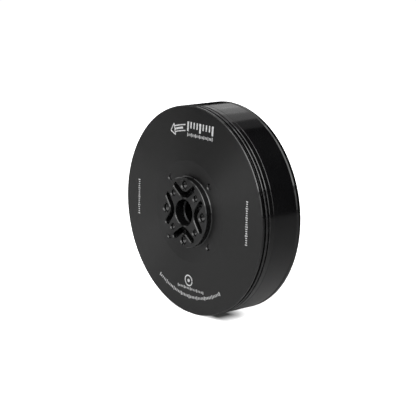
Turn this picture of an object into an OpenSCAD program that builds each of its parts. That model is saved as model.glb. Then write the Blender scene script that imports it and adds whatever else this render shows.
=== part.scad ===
// Flat brushless outrunner motor: a wide, shallow rotor turning round a 36-tooth stator.
// Lengths are in millimetres. Each sub-part is drawn with the motor's axis along +Z, measured
// from the mounting face (z = 0) towards the propeller, and row_frame() lays that axis along -Y.

/* [Rotor shell] */
// Diameter of the rotor
rotor_d = 86.8; // [86.6:0.1:88]
// Distance from the mounting face to the rear edge of the rotor
rear_gap = 1.85; // [1.5:0.05:2.5]
// Width of the rotor's rim, front edge to rear edge
rim_width = 20.6; // [20.6:0.1:21.5]
// Height of the flat plateau above the front edge of the rim
plateau_rise = 1.25; // [0.8:0.05:1.6]
// Diameter of the flat plateau
plateau_d = 42.4; // [41.8:0.1:44]
// Width of the part of the rim that belongs to the front bell
lip_width = 6.1; // [6:0.05:6.2]
// Thickness of the bell's web at the rim
web_thickness = 1.75; // [1.6:0.05:1.9]
// Depth of the two decorative grooves in the rim
groove_depth = 0.7; // [0.4:0.05:0.9]

/* [Propeller hub] */
// Diameter of the raised hub
hub_d = 29; // [28:0.1:29.6]
// Height of the hub above the plateau
hub_rise = 2.8; // [2.4:0.05:3.2]
// Diameter of the pilot bore in the hub
pilot_d = 10.9; // [10.7:0.05:11.1]
// Depth of the pilot bore, down to the end of the shaft
pilot_depth = 4.5; // [4.2:0.05:4.6]
// Pitch circle of the four M4 propeller holes
prop_m4_pcd = 23; // [22.6:0.1:23.4]
// Pitch circle of the four M3 propeller holes
prop_m3_pcd = 20; // [19.6:0.1:20.4]
// Pitch circle of the four M2.5 screws that hold the shaft to the bell
spider_pcd = 35.2; // [34.6:0.1:35.6]
// Width of the bent air slots in the hub
slot_w = 2.4; // [2:0.05:2.5]

/* [Shaft and bearings] */
// Diameter of the shaft
shaft_d = 15; // [14.9:0.02:15]
// Diameter of the hole through the shaft
shaft_bore_d = 10; // [9:0.1:10.4]
// Outside diameter of each bearing
bearing_d = 21; // [21:0.1:22]
// Width of each bearing
bearing_w = 4; // [3.8:0.05:4]
// Diameter of a bearing ball
ball_d = 1.6; // [1.5:0.02:1.6]
// Number of balls in each bearing
ball_count = 14; // [9:1:14]

/* [Stator] */
// Diameter of the stator core
core_d = 81; // [80.6:0.1:81.2]
// Height of the stack of laminations
core_h = 9; // [8:0.1:9.4]
// Number of teeth, a multiple of six
tooth_count = 36; // [24:6:36]
// Width of a tooth
tooth_w = 2.5; // [2.2:0.05:2.7]
// Number of magnets, an even number
magnet_count = 42; // [28:2:42]
// Thickness of a magnet
magnet_t = 1.3; // [1:0.05:1.35]
// Length of a magnet along the axis
magnet_l = 10; // [9:0.1:10]
// Thickness of the steel flux ring
flux_ring_t = 1.2; // [1.2:0.05:1.3]

/* [Base] */
// Diameter of the mounting face
boss_d = 42; // [41:0.1:42.3]
// Pitch circle of the four M4 mounting holes
mount_m4_pcd = 32; // [31:0.1:33]
// Pitch circle of the four M3 mounting holes
mount_m3_pcd = 30; // [29:0.1:31]
// Number of arms between the boss and the drum, the wide one with the wire exit included
arm_count = 9; // [7:1:9]
// Width of a plain arm
arm_w = 4.2; // [3.5:0.1:5]

/* [Hidden] */
$fn = 96;

overlap = 0.5;                   // how far a cutter passes the face that it opens
fit = 0.01;                      // gap of a seat, all round
glue = 0.03;                     // radial gap that holds adhesive

rim_r = rotor_d / 2;
front = rear_gap + rim_width;
plateau = front + plateau_rise;
hub_top = plateau + hub_rise;
hub_r = hub_d / 2;
pilot_r = pilot_d / 2;
shaft_r = shaft_d / 2;
shaft_top = hub_top - pilot_depth;
web_back = front - web_thickness;
bell_rear = front - lip_width;

m4_tap_r = 1.65;
m4_chamfer = 0.4;
m3_tap_r = 1.25;
m3_chamfer = 0.35;
m25_tap_r = 1.02;
m25_r = 1.25;
m25_clear_r = 1.35;
m25_head_r = 2.25;
m25_head_h = 2.5;
m25_hex = 2;                     // across the flats
m25_hex_depth = 1.5;

edge_chamfer = 0.35;
seam_chamfer = 0.15;
hub_chamfer = 0.3;
hub_foot = 0.45;
groove_floor_r = rim_r - groove_depth;
groove_starts = [1.0, 3.0];      // from the front edge
groove_ends = [2.2, 3.9];

flux_in_r = rim_r - flux_ring_t;
flux_front = bell_rear - 0.05;
rear_ring_w = 2;
rear_spigot_l = 0.75;
seam_w = 0.3;
seam_depth = 0.4;
butt_gap = 0.02;                 // between the rear ring's shoulder and the flux ring
flux_rear = rear_gap + rear_ring_w + seam_w;
spigot_l = 1.2;
spigot_t = 1.15;
lip_in_r = 41.2;
rear_ring_in_r = 40.2;
magnet_z = flux_rear + rear_spigot_l + 0.1;
magnet_fill = 0.89;              // share of the pitch that a magnet covers

slot_elbow_r = 4.05;             // of the slot's centre line, round the M4 hole
slot_half_angle = 54;            // between a slot's straight part and the radius
slot_arm = 3.86;                 // length of the straight part

spider_t = 1.5;
spider_z = web_back - spider_t;
spider_flange_r = 9.5;
spider_arm_w = 4.4;
spider_pad_r = 3;
spider_screw_l = 3.8;
shaft_end = 0.9;

shim_t = 0.5;
shim_out_r = 8.4;
front_bearing_z = spider_z - shim_t - bearing_w;
rear_bearing_z = 3;
bearing_in_r = shaft_d / 2 + fit;
bearing_out_r = bearing_d / 2;
ball_pitch_r = (bearing_in_r + bearing_out_r) / 2;
ball_r = ball_d / 2;
groove_r = ball_r + 0.03;
race_gap = 0.55;                 // from the ball circle to either race
shield_t = 0.2;
shield_inset = 0.2;              // from the bearing's face
shield_gap = 0.1;                // to the inner race
cage_t = 0.76;
cage_w = 2.2;
pocket_gap = 0.06;               // round a ball in the cage

clip_t = 1;
clip_z = rear_bearing_z - shim_t - clip_t;
clip_groove_r = 7.15;
clip_r = 8.45;
clip_shift = 0.25;               // makes the ring widest opposite its gap
clip_gap_w = 2;
eye_r = 1.35;
eye_hole_r = 0.6;
eye_at_r = 8.6;
eye_angle = 14;

boss_r = boss_d / 2;
boss_h = 4.5;
boss_chamfer = 0.4;
base_chamfer = 0.3;
tube_r = 13;
tube_top = spider_z - 0.3;
seat_r = bearing_out_r + fit;
land_r = 9.7;
spring_h = 0.6;
spring_sheet = 0.15;
spring_waves = 3;
land_top = front_bearing_z - spring_h;
land_bottom = rear_bearing_z + bearing_w;
drum_in_r = 27.4;
drum_r = 29.98;
drum_top = 14.9;
arm_z = 1.2;
arm_h = 3;
shoulder_r = 31;
shoulder_z = 5;
exit_r = 24.1;
exit_half_angle = 17;
exit_w = 9.6;
exit_h = 4.4;
lead_spacing = 2.9;
lead_hole_r = 1.15;
grommet_lip = 0.7;
grommet_lip_t = 0.78;

core_r = core_d / 2;
core_in_r = 30;
core_z = 6;
yoke_r = 33;
tip_r = 38.9;
tip_taper = 0.6;
slot_mouth = 1.1;
tooth_pitch = 360 / tooth_count;
insulator_t = 0.35;
insulator_grow = 0.08;           // past the sides of each tooth
insulator_inset = 0.3;           // from the core's outer edge
coil_in_r = 33.4;
coil_out_r = 38.8;
coil_w = 5.6;
coil_over = 1.9;                 // how far the end turns stand past the insulators
coil_corner_r = 1.8;
coil_gap = 0.1;                  // to the insulators
jumper_wire_r = 0.5;
jumper_rings = [[31.1, 4.25], [32.3, 4.25], [31.7, 3.2]];
sleeve_at = [31.6, 4.1];
sleeve_r = 0.9;
sleeve_l = 5;

// The motor's axis, drawn along +Z, lies along -Y in the row frame.
module row_frame() rotate([90, 0, 0]) children();

module turned(outline) rotate_extrude() polygon(outline);

module ring(inner_r, outer_r, z, h) translate([0, 0, z]) linear_extrude(h) difference() {
    circle(outer_r);
    circle(inner_r);
}

// Copies children at equal angles round the axis.
module around(count, first = 0) for (k = [0:count - 1]) rotate(first + k * 360 / count) children();

// A tapped hole down from the plane z, with a 45 degree chamfer at its mouth.
module tapped_hole(r, z, depth, chamfer) {
    translate([0, 0, z - depth]) cylinder(r = r, h = depth + overlap);
    translate([0, 0, z - chamfer]) cylinder(r1 = r, r2 = r + chamfer + overlap, h = chamfer + overlap);
}

// ---- Rotor ----

function groove_points(k) = [
    [rim_r, front - groove_starts[k]],
    [groove_floor_r, front - groove_starts[k]],
    [groove_floor_r, front - groove_ends[k]],
    [rim_r - edge_chamfer, front - groove_ends[k]],
    [rim_r, front - groove_ends[k] - edge_chamfer]
];

function bell_outline() = concat(
    [
        [pilot_r, shaft_top],
        [pilot_r, hub_top - hub_chamfer],
        [pilot_r + hub_chamfer, hub_top],
        [hub_r - hub_chamfer, hub_top],
        [hub_r, hub_top - hub_chamfer],
        [hub_r, plateau + hub_foot],
        [hub_r + hub_foot, plateau],
        [plateau_d / 2, plateau],
        [rim_r - edge_chamfer, front],
        [rim_r, front - edge_chamfer]
    ],
    groove_points(0),
    groove_points(1),
    [
        [rim_r, bell_rear + seam_chamfer],
        [rim_r - seam_chamfer, bell_rear],
        [flux_in_r - glue, bell_rear],
        [flux_in_r - glue, bell_rear - spigot_l],
        [flux_in_r - spigot_t, bell_rear - spigot_l],
        [lip_in_r, bell_rear],
        [lip_in_r, web_back],
        [shaft_r + fit, web_back],
        [shaft_r + fit, shaft_top]
    ]
);

// Outline of a bent slot: an elbow concentric with an M4 hole, and a straight arm at each end.
function arc(centre, r, from, to, steps = 12) = [
    for (k = [0:steps])
        let (a = from + (to - from) * k / steps)
        centre + r * [cos(a), sin(a)]
];

function slot_outline() =
    let (
        turn = 90 - slot_half_angle,
        hole = [prop_m4_pcd / 2, 0],
        half = slot_w / 2,
        tip = hole + slot_elbow_r * [-cos(turn), sin(turn)]
            + slot_arm * [cos(slot_half_angle), sin(slot_half_angle)]
    )
    concat(
        arc(hole, slot_elbow_r + half, 180 - turn, 180 + turn),
        arc([tip[0], -tip[1]], half, 180 + turn, 360 + turn),
        arc(hole, slot_elbow_r - half, 180 + turn, 180 - turn),
        arc(tip, half, -turn, 180 - turn)
    );

module front_bell() color("#2b2b2c") row_frame() difference() {
    turned(bell_outline());
    around(4) translate([0, 0, web_back - overlap])
        linear_extrude(hub_top - web_back + 2 * overlap) polygon(slot_outline());
    around(4) translate([prop_m4_pcd / 2, 0])
        tapped_hole(m4_tap_r, hub_top, hub_top - web_back + overlap, m4_chamfer);
    around(4, 45) translate([prop_m3_pcd / 2, 0])
        tapped_hole(m3_tap_r, hub_top, hub_top - web_back + overlap, m3_chamfer);
    around(4, 45) translate([spider_pcd / 2, 0]) {
        tapped_hole(m25_tap_r, plateau, plateau - web_back + overlap, m3_chamfer);
        translate([0, 0, web_back - overlap])
            cylinder(r = m25_r + fit, h = spider_screw_l - spider_t + overlap);
    }
}

module flux_ring() color("#1a1a1b") row_frame() turned([
    [flux_in_r, flux_rear],
    [rim_r - seam_chamfer, flux_rear],
    [rim_r, flux_rear + seam_chamfer],
    [rim_r, flux_front - seam_chamfer],
    [rim_r - seam_chamfer, flux_front],
    [flux_in_r, flux_front]
]);

module rear_ring() color("#2b2b2c") row_frame() {
    top = rear_gap + rear_ring_w;
    turned([
        [rear_ring_in_r, rear_gap],
        [rim_r - edge_chamfer, rear_gap],
        [rim_r, rear_gap + edge_chamfer],
        [rim_r, top - edge_chamfer],
        [rim_r - edge_chamfer, top],
        [rim_r - seam_depth, top],
        [rim_r - seam_depth, flux_rear - butt_gap],
        [flux_in_r - glue, flux_rear - butt_gap],
        [flux_in_r - glue, flux_rear + rear_spigot_l],
        [flux_in_r - spigot_t, flux_rear + rear_spigot_l],
        [rear_ring_in_r, top]
    ]);
}

module magnets(first) row_frame() {
    pitch = 360 / magnet_count;
    width = pitch * magnet_fill;
    for (k = [first:2:magnet_count - 1]) rotate(k * pitch - width / 2)
        rotate_extrude(angle = width)
            translate([flux_in_r - glue - magnet_t, magnet_z]) square([magnet_t, magnet_l]);
}

module magnets_north() color("#b9bcc0") magnets(0);

module magnets_south() color("#a9acb0") magnets(1);

// Hollow shaft with a four-armed flange that bolts to the back of the bell.
module shaft() color("#8f9296") row_frame() difference() {
    union() {
        turned([
            [shaft_bore_d / 2, shaft_end],
            [shaft_r - hub_chamfer, shaft_end],
            [shaft_r, shaft_end + hub_chamfer],
            [shaft_r, clip_z],
            [clip_groove_r, clip_z],
            [clip_groove_r, clip_z + clip_t],
            [shaft_r, clip_z + clip_t],
            [shaft_r, spider_z],
            [spider_flange_r, spider_z],
            [spider_flange_r, web_back],
            [shaft_r, web_back],
            [shaft_r, shaft_top],
            [shaft_bore_d / 2, shaft_top]
        ]);
        around(4, 45) translate([0, 0, spider_z]) linear_extrude(spider_t) {
            translate([shaft_r, -spider_arm_w / 2])
                square([spider_pcd / 2 - shaft_r, spider_arm_w]);
            translate([spider_pcd / 2, 0]) circle(spider_pad_r);
        }
    }
    around(4, 45) translate([spider_pcd / 2, 0, spider_z - overlap])
        cylinder(r = m25_clear_r, h = spider_t + 2 * overlap);
}

module spider_screws() color("#3a3b3d") row_frame()
    around(4, 45) translate([spider_pcd / 2, 0, spider_z]) difference() {
        union() {
            translate([0, 0, -m25_head_h]) cylinder(r = m25_head_r, h = m25_head_h);
            cylinder(r = m25_r, h = spider_screw_l);
        }
        translate([0, 0, -m25_head_h - overlap])
            cylinder(d = m25_hex / cos(30), h = m25_hex_depth + overlap, $fn = 6);
    }

module front_shim() color("#9a9da1") row_frame()
    ring(shaft_r + fit, shim_out_r, front_bearing_z + bearing_w + fit, shim_t - 2 * fit);

module rear_shim() color("#9a9da1") row_frame()
    ring(shaft_r + fit, shim_out_r, clip_z + clip_t + fit, shim_t - 2 * fit);

// Open ring in the shaft's groove, with two eyes for the pliers.
module retaining_ring() color("#2f3133") row_frame()
    translate([0, 0, clip_z + fit]) linear_extrude(clip_t - 2 * fit) difference() {
        union() {
            translate([0, clip_shift]) circle(clip_r);
            for (side = [-1, 1]) rotate(-90 + side * eye_angle) translate([eye_at_r, 0]) circle(eye_r);
        }
        circle(clip_groove_r + fit);
        polygon([[0, 0], [-clip_gap_w / 2, -eye_at_r - eye_r], [clip_gap_w / 2, -eye_at_r - eye_r]]);
        for (side = [-1, 1]) rotate(-90 + side * eye_angle) translate([eye_at_r, 0]) circle(eye_hole_r);
    }

// ---- Bearings ----

module ball_circle(z) translate([0, 0, z + bearing_w / 2])
    around(ball_count) translate([ball_pitch_r, 0, 0]) children();

module race(inner_r, outer_r, z) difference() {
    ring(inner_r, outer_r, z, bearing_w);
    translate([0, 0, z + bearing_w / 2]) rotate_extrude()
        translate([ball_pitch_r, 0]) circle(groove_r);
}

module inner_race(z) color("#c8cacc") row_frame() race(bearing_in_r, ball_pitch_r - race_gap, z);

module outer_race(z) color("#c8cacc") row_frame() race(ball_pitch_r + race_gap, bearing_out_r, z);

module cage(z) color("#b58a3c") row_frame() difference() {
    ring(ball_pitch_r - cage_t / 2, ball_pitch_r + cage_t / 2, z + (bearing_w - cage_w) / 2, cage_w);
    ball_circle(z) rotate([0, 90, 0])
        cylinder(r = ball_r + pocket_gap, h = cage_t + 2 * overlap, center = true);
}

module balls(z) color("#d8dadc") row_frame() ball_circle(z) sphere(ball_r);

module shields(z) color("#a4a7aa") row_frame()
    for (low = [shield_inset, bearing_w - shield_inset - shield_t])
        ring(ball_pitch_r - race_gap + shield_gap, ball_pitch_r + race_gap - fit, z + low, shield_t);

module front_inner_race() inner_race(front_bearing_z);
module rear_inner_race() inner_race(rear_bearing_z);
module front_outer_race() outer_race(front_bearing_z);
module rear_outer_race() outer_race(rear_bearing_z);
module front_cage() cage(front_bearing_z);
module rear_cage() cage(rear_bearing_z);
module front_balls() balls(front_bearing_z);
module rear_balls() balls(rear_bearing_z);
module front_shields() shields(front_bearing_z);
module rear_shields() shields(rear_bearing_z);

// Wavy washer that pushes the front bearing's outer race forward.
module wave_spring() color("#8d9094") row_frame() {
    steps = 60;
    middle = land_top + spring_h / 2;
    swing = (spring_h - spring_sheet) / 2 - fit;
    in_r = land_r + 0.05;
    out_r = seat_r - 0.05;
    section = [[in_r, -1], [out_r, -1], [out_r, 1], [in_r, 1]];
    corners = [
        for (k = [0:steps - 1], c = section)
            let (a = k * 360 / steps, z = middle + swing * cos(spring_waves * a))
            [c[0] * cos(a), c[0] * sin(a), z + c[1] * spring_sheet / 2]
    ];
    faces = [
        for (k = [0:steps - 1], c = [0:3])
            let (next = (k + 1) % steps, d = (c + 1) % 4)
            for (tri = [[4 * k + c, 4 * next + d, 4 * k + d], [4 * k + c, 4 * next + c, 4 * next + d]]) tri
    ];
    polyhedron(corners, faces);
}

// ---- Stator ----

// Mounting boss and bearing tube, arms, and the drum that carries the core.
module stator_base() color("#262627") row_frame() difference() {
    union() {
        turned([
            [seat_r, boss_chamfer],
            [seat_r + boss_chamfer, 0],
            [boss_r - boss_chamfer, 0],
            [boss_r, boss_chamfer],
            [boss_r, boss_h],
            [tube_r, boss_h],
            [tube_r, tube_top - base_chamfer],
            [tube_r - base_chamfer, tube_top],
            [seat_r, tube_top],
            [seat_r, land_top],
            [land_r, land_top],
            [land_r, land_bottom],
            [seat_r, land_bottom]
        ]);
        turned([
            [drum_in_r, arm_z],
            [drum_r - boss_chamfer, arm_z],
            [drum_r, arm_z + boss_chamfer],
            [drum_r, shoulder_z],
            [shoulder_r, shoulder_z],
            [shoulder_r, core_z - fit],
            [drum_r, core_z - fit],
            [drum_r, drum_top - base_chamfer],
            [drum_r - base_chamfer, drum_top],
            [drum_in_r, drum_top]
        ]);
        for (k = [1:arm_count - 1]) rotate(-90 + k * 360 / arm_count)
            translate([boss_r - overlap, -arm_w / 2, arm_z])
                cube([drum_in_r - boss_r + 2 * overlap, arm_w, arm_h]);
        rotate(-90 - exit_half_angle) rotate_extrude(angle = 2 * exit_half_angle)
            translate([boss_r - overlap, arm_z]) square([drum_in_r - boss_r + 2 * overlap, arm_h]);
    }
    around(4, 45) translate([mount_m4_pcd / 2, 0]) mirror([0, 0, 1])
        tapped_hole(m4_tap_r, 0, boss_h + overlap, m4_chamfer);
    around(4) translate([mount_m3_pcd / 2, 0]) mirror([0, 0, 1])
        tapped_hole(m3_tap_r, 0, boss_h + overlap, m3_chamfer);
    translate([0, -exit_r, arm_z - overlap]) linear_extrude(arm_h + 2 * overlap) long_hole(exit_w, exit_h);
}

module long_hole(length, width) {
    square([length - width, width], center = true);
    for (side = [-1, 1]) translate([side * (length - width) / 2, 0]) circle(width / 2);
}

// Outline of one lamination. grow widens the teeth, for the insulators.
module tooth_outline(inner_r, outer_r, grow) {
    half = function(r) r * tan(tooth_pitch / 2) - (tooth_w / 2 + grow) / cos(tooth_pitch / 2);
    difference() {
        circle(outer_r);
        circle(inner_r);
        around(tooth_count, tooth_pitch / 2) polygon([
            [yoke_r + grow, -half(yoke_r + grow)],
            [tip_r - grow, -half(tip_r - grow)],
            [tip_r + tip_taper - grow, -slot_mouth / 2],
            [core_r + overlap, -slot_mouth / 2],
            [core_r + overlap, slot_mouth / 2],
            [tip_r + tip_taper - grow, slot_mouth / 2],
            [tip_r - grow, half(tip_r - grow)],
            [yoke_r + grow, half(yoke_r + grow)]
        ]);
    }
}

module stator_core() color("#6f7276") row_frame()
    translate([0, 0, core_z]) linear_extrude(core_h) tooth_outline(core_in_r, core_r, 0);

module insulator(z) color("#3d5a4c") row_frame() translate([0, 0, z])
    linear_extrude(insulator_t) tooth_outline(shoulder_r + 0.1, core_r - insulator_inset, insulator_grow);

module front_insulator() insulator(core_z + core_h + fit);

module rear_insulator() insulator(core_z - insulator_t - fit);

module rounded(w, h, r) {
    square([w - 2 * r, h], center = true);
    square([w, h - 2 * r], center = true);
    for (x = [-1, 1], y = [-1, 1]) translate([x * (w / 2 - r), y * (h / 2 - r)]) circle(r);
}

// One coil, wound round the tooth that points along +X.
module coil() {
    bore_w = tooth_w + 2 * (insulator_grow + coil_gap) + 0.04;
    bore_h = core_h + 2 * insulator_t + coil_gap;
    translate([coil_in_r, 0, core_z + core_h / 2]) rotate([90, 0, 90])
        linear_extrude(coil_out_r - coil_in_r) difference() {
            rounded(coil_w, bore_h + 2 * coil_over, coil_corner_r);
            square([bore_w, bore_h], center = true);
        }
}

// Coils come in pairs, phase by phase, round the stator.
module coils(phase) color("#b4652e") row_frame() for (k = [0:tooth_count - 1])
    if (floor((k % 6) / 2) == phase) rotate(k * tooth_pitch) coil();

module coils_phase_a() coils(0);
module coils_phase_b() coils(1);
module coils_phase_c() coils(2);

// Three sleeved wires that join the coils of each phase, laid round the drum.
module phase_jumpers() color("#7a2a22") row_frame() for (p = jumper_rings)
    translate([0, 0, p[1]]) rotate(-60) rotate_extrude(angle = 300)
        translate([p[0], 0]) circle(jumper_wire_r);

// Sleeve over the joint where the three phases meet, laid along the tangent.
module star_sleeve() color("#1d1d1e") row_frame() translate([0, -sleeve_at[0], sleeve_at[1]])
    rotate([0, 90, 0]) {
        cylinder(r = sleeve_r, h = sleeve_l, center = true);
        for (end = [-1, 1]) translate([0, 0, end * sleeve_l / 2]) sphere(sleeve_r);
    }

// Rubber gland for the three motor leads, with a lip on each side of the wide arm.
module wire_grommet() color("#141414") row_frame() translate([0, -exit_r, 0]) difference() {
    union() {
        translate([0, 0, arm_z - fit - grommet_lip_t / 2])
            linear_extrude(arm_h + 2 * fit + grommet_lip_t) long_hole(exit_w - 0.1, exit_h - 0.1);
        for (z = [arm_z - fit - grommet_lip_t, arm_z + arm_h + fit]) translate([0, 0, z])
            linear_extrude(grommet_lip_t) long_hole(exit_w + 2 * grommet_lip, exit_h + 2 * grommet_lip);
    }
    for (side = [-1:1]) translate([side * lead_spacing, 0, arm_z - grommet_lip_t - overlap])
        cylinder(r = lead_hole_r, h = arm_h + 2 * grommet_lip_t + 2 * overlap);
}

front_bell();
flux_ring();
rear_ring();
magnets_north();
magnets_south();
shaft();
spider_screws();
front_shim();
rear_shim();
retaining_ring();
front_inner_race();
rear_inner_race();
front_cage();
front_balls();
rear_cage();
rear_balls();
front_outer_race();
rear_outer_race();
front_shields();
rear_shields();
wave_spring();
stator_base();
stator_core();
front_insulator();
rear_insulator();
coils_phase_a();
coils_phase_b();
coils_phase_c();
phase_jumpers();
star_sleeve();
wire_grommet();
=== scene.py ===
import math
import random

import bmesh
import bpy
from mathutils import Matrix, Quaternion, Vector


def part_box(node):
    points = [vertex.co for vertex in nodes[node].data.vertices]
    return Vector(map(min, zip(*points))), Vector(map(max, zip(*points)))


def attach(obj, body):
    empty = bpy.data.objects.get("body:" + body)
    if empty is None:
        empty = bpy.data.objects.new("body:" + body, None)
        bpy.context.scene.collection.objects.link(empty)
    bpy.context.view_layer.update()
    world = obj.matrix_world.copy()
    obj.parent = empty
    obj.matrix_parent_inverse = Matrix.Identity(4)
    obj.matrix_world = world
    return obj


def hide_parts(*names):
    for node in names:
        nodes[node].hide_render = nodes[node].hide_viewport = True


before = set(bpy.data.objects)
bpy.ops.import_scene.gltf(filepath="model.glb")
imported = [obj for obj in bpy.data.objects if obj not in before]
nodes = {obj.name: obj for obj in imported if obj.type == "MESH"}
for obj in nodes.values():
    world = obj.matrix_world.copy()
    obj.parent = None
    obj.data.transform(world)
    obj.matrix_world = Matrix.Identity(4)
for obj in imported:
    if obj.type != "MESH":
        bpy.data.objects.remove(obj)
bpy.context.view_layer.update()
MM = 0.001


# ---- Sizes, in millimetres: heights are measured from the mounting face towards the propeller ----

def span(node):
    """(lowest, highest) height of a CAD node along the axis, and its radius across X."""
    lo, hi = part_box(node)
    return -hi[1] / MM, -lo[1] / MM, (hi[0] - lo[0]) / 2 / MM


TURN = 2 * math.pi
bell_low, hub_top, rim_r = span("front_bell")
flux_low, flux_high, _ = span("flux_ring")
rear_low = span("rear_ring")[0]
shaft_low, shaft_top, _ = span("shaft")
front = rear_low + 20.6             # the rim's front edge
plateau = front + 1.25              # the flat of the face, round the hub
plateau_r = 21.2
web_back = front - 1.75             # the inner side of the face
bell_in_r = 41.2
bell_rear = flux_high + 0.05
lip_chamfer = 0.3
hub_chamfer = 0.25
grooves = ((1.0, 2.2), (3.0, 3.9))  # start and end of each, below the front edge
groove_depth = 1.1
flux_in = rim_r - 1.2
seam_gap = 0.03                     # between the flux ring and the lips inside it
lip_inset = 1.15                    # thickness of those lips
rear_in_r = 40.2
rear_top = rear_low + 2
hub_r = 14.5
pilot_r = 5.45                      # the bore that a propeller centres on
slot_hole_r = 11.5                  # the hub's large holes, each in the bend of a slot
hub_hole_r = 10                     # its small holes
face_hole_r = 17.6                  # the holes of the face, over the screws of the flange
shaft_r = 7.5
shaft_bore = 5.0
clip_r, clip_low, clip_high = 7.15, 1.5, 2.5
flange_low = web_back - 1.5
flange_r = 9.5
bearing_low, bearing_width = 3, 4
base_bore_r, boss_r, boss_high = 10.51, 21, 4.5
drum_in, drum_r, drum_step_r, drum_low, drum_high = 27.4, 29.98, 31, 1.2, 14.9
drum_step_low, drum_step_high = 5, 5.99
m3_mount_r, m4_mount_r = 15, 16     # mounting holes of the base
exit_r, exit_length, exit_width = 24.1, 9.6, 4.4
m4, m3, m2_5 = (1.65, 0.7), (1.25, 0.5), (1.05, 0.45)  # threads: core radius and pitch


# ---- Mesh helpers ----

def place(r, a, h):
    """Radius, angle and height to a point of the CAD frame, in metres."""
    return (r * math.cos(a) * MM, -h * MM, r * math.sin(a) * MM)


def flat(x, z, h):
    """The same, from a point of the face's plan and a height."""
    return (x * MM, -h * MM, z * MM)


def rounded(corners, steps=3):
    """Outline from (r, h) or (r, h, fillet radius) corners, with each fillet drawn as an arc."""
    out, n = [], len(corners)
    for i, c in enumerate(corners):
        p = Vector(c[:2])
        if len(c) < 3:
            out.append(tuple(p))
            continue
        before = Vector(corners[i - 1][:2]) - p
        after = Vector(corners[(i + 1) % n][:2]) - p
        angle = before.angle(after)
        reach = min(c[2] / math.tan(angle / 2), before.length * 0.49, after.length * 0.49)
        radius = reach * math.tan(angle / 2)
        u, v = before.normalized(), after.normalized()
        centre = p + (u + v).normalized() * radius / math.sin(angle / 2)
        start, end = p + u * reach - centre, p + v * reach - centre
        sweep = start.angle_signed(end)
        for k in range(steps + 1):
            t = -sweep * k / steps
            x = start.x * math.cos(t) - start.y * math.sin(t)
            y = start.x * math.sin(t) + start.y * math.cos(t)
            out.append((centre.x + x, centre.y + y))
    return out


def new_object(name, bm, smooth=True, sharp=32):
    bmesh.ops.recalc_face_normals(bm, faces=bm.faces)
    mesh = bpy.data.meshes.new(name)
    bm.to_mesh(mesh)
    bm.free()
    obj = bpy.data.objects.new(name, mesh)
    bpy.context.scene.collection.objects.link(obj)
    if smooth:
        finish_shading(obj, sharp)
    return obj


def finish_shading(obj, sharp=32):
    """Smooth shading in which the large faces stay flat and their small fillets take up the turn."""
    mesh = obj.data
    mesh.shade_smooth()
    around = [[] for _ in mesh.vertices]
    faces = [(p.normal.copy(), p.normal * p.area) for p in mesh.polygons]
    for p in mesh.polygons:
        for v in p.vertices:
            around[v].append(p.index)
    limit = math.cos(math.radians(sharp))
    normals = []
    for p, (normal, _) in zip(mesh.polygons, faces):
        for v in p.vertices:
            total = Vector()
            for i in around[v]:
                if faces[i][0].dot(normal) > limit:
                    total += faces[i][1]
            normals.append(total.normalized() if total.length else normal)
    mesh.normals_split_custom_set(normals)


def join_rings(bm, a, b):
    """Faces between two rings of equally many vertices."""
    for i in range(len(a)):
        j = (i + 1) % len(a)
        bm.faces.new((a[i], a[j], b[j], b[i]))


def add_lathe(bm, outline, steps):
    """Turns an (r, h) outline round the axis."""
    rings = [[bm.verts.new(place(r, TURN * k / steps, h)) for r, h in outline] for k in range(steps)]
    for k in range(steps):
        join_rings(bm, rings[k], rings[(k + 1) % steps])


def lathe(name, outline, steps):
    bm = bmesh.new()
    add_lathe(bm, outline, steps)
    return new_object(name, bm)


def add_levels(bm, levels):
    """Closed solid through rings of equally many points, one above the other."""
    rings = [[bm.verts.new(p) for p in ring] for ring in levels]
    for a, b in zip(rings, rings[1:]):
        join_rings(bm, a, b)
    bm.faces.new(rings[0])
    bm.faces.new(rings[-1])


def polar(r, a):
    return (r * math.cos(a), r * math.sin(a))


def turn_by(points, a):
    """Plan points turned round the axis."""
    c, s = math.cos(a), math.sin(a)
    return [(x * c - z * s, x * s + z * c) for x, z in points]


def at_height(points, h):
    return [flat(x, z, h) for x, z in points]


def arc(centre, r, a, b, steps):
    return [
        (centre[0] + r * math.cos(a + (b - a) * k / steps), centre[1] + r * math.sin(a + (b - a) * k / steps))
        for k in range(steps + 1)
    ]


def circle_points(x, z, r, steps):
    return arc((x, z), r, 0, TURN, steps)[:-1]


def thread_levels(low, high, core, pitch):
    """Heights and radii of a threaded wall."""
    out, h, depth = [], low, pitch * 0.42
    while h + pitch < high:
        out += [(h, core), (h + pitch * 0.5, core + depth)]
        h += pitch
    return out + [(h, core)]


def add_drill(bm, centre, thread, low, mouth, chamfer, steps=48):
    """A cutter for a threaded hole from low to its mouth, which has a chamfer."""
    core, pitch = thread
    sign = 1 if mouth > low else -1
    runout, past = 0.25, 0.6
    threads = thread_levels(0.2, abs(mouth - low) - chamfer - runout, core, pitch)
    reach = [(low, core)] + [(low + sign * h, r) for h, r in threads] + [
        (mouth - sign * chamfer, core),
        (mouth, core + chamfer),
        (mouth + sign * past, core + chamfer + past),
    ]
    add_levels(bm, [at_height(circle_points(*centre, r, steps), h) for h, r in reach])


def cut(obj, bm):
    """Takes the solids in bm out of obj."""
    combine(obj, bm, "DIFFERENCE")


def combine(obj, bm, operation):
    """Joins the solids in bm to obj, or takes them out of it."""
    tool = new_object("tool", bm, smooth=False)
    mod = obj.modifiers.new("combine", "BOOLEAN")
    mod.operation, mod.solver, mod.object = operation, "EXACT", tool
    graph = bpy.context.evaluated_depsgraph_get()
    mesh = bpy.data.meshes.new_from_object(obj.evaluated_get(graph))
    obj.modifiers.clear()
    old, obj.data = obj.data, mesh
    bpy.data.meshes.remove(old)
    spare = tool.data
    bpy.data.objects.remove(tool)
    bpy.data.meshes.remove(spare)
    finish_shading(obj)


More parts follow.
